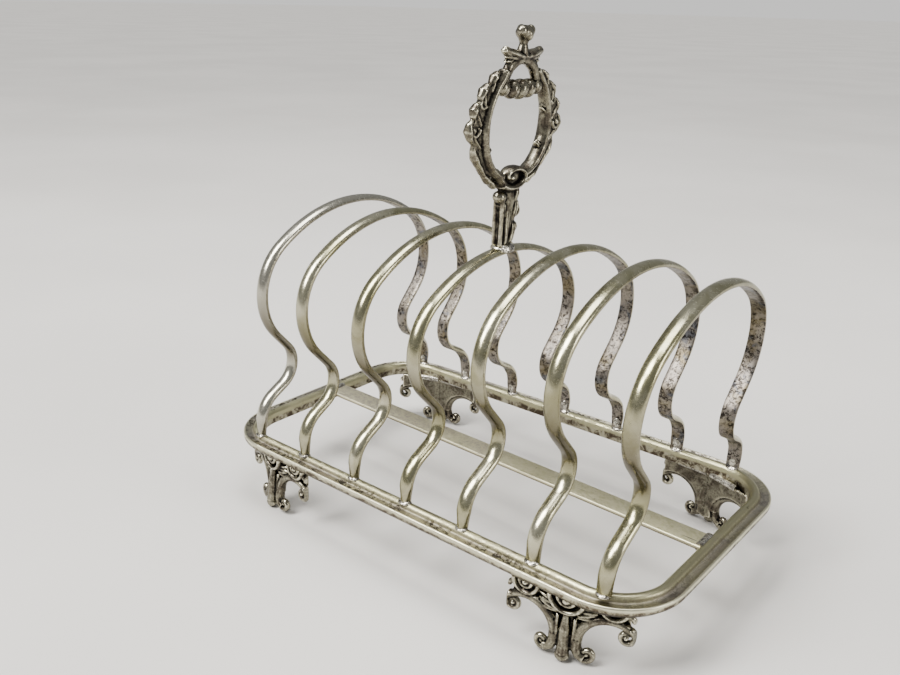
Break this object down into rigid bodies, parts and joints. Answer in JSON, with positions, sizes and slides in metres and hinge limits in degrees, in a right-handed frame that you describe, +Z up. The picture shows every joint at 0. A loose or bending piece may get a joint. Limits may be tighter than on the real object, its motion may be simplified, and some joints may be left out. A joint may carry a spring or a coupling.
{
  "type": "toast rack",
  "caption": "Silver-plated toast rack: bent wire hoops on an oblong rail with cast scroll feet and a ring handle.",
  "frame": {"origin": "middle of the footprint, on the table", "axes": "+X along the rack through its hoops, +Y across it to the back, +Z up"},
  "size_m": [0.172, 0.0996, 0.1639],
  "materials": {
    "rail_plate": "worn and pitted silver plate, grey-pink with yellow edges",
    "strap_plate": "silver plate worn through to the yellow base metal",
    "hoop_plate": "polished silver plate with a warm tarnish, darker inside",
    "cast_silver": "cast and chased, bright on the high places and black in the recesses",
    "solder": "bright soft solder"
  },
  "bodies": {
    "root": {"base_rail": "rail_plate", "centre_strap": "strap_plate", "hoop_1": "hoop_plate", "hoop_2": "hoop_plate", "hoop_3": "hoop_plate", "hoop_4": "hoop_plate", "hoop_5": "hoop_plate", "hoop_6": "hoop_plate", "hoop_7": "hoop_plate", "foot_front_left": "cast_silver", "foot_front_right": "cast_silver", "foot_back_left": "cast_silver", "foot_back_right": "cast_silver", "ring_handle": "cast_silver", "hoop_solder": "solder", "strap_solder": "solder", "foot_solder": "solder", "handle_solder": "solder"}
  },
  "joints": []
}
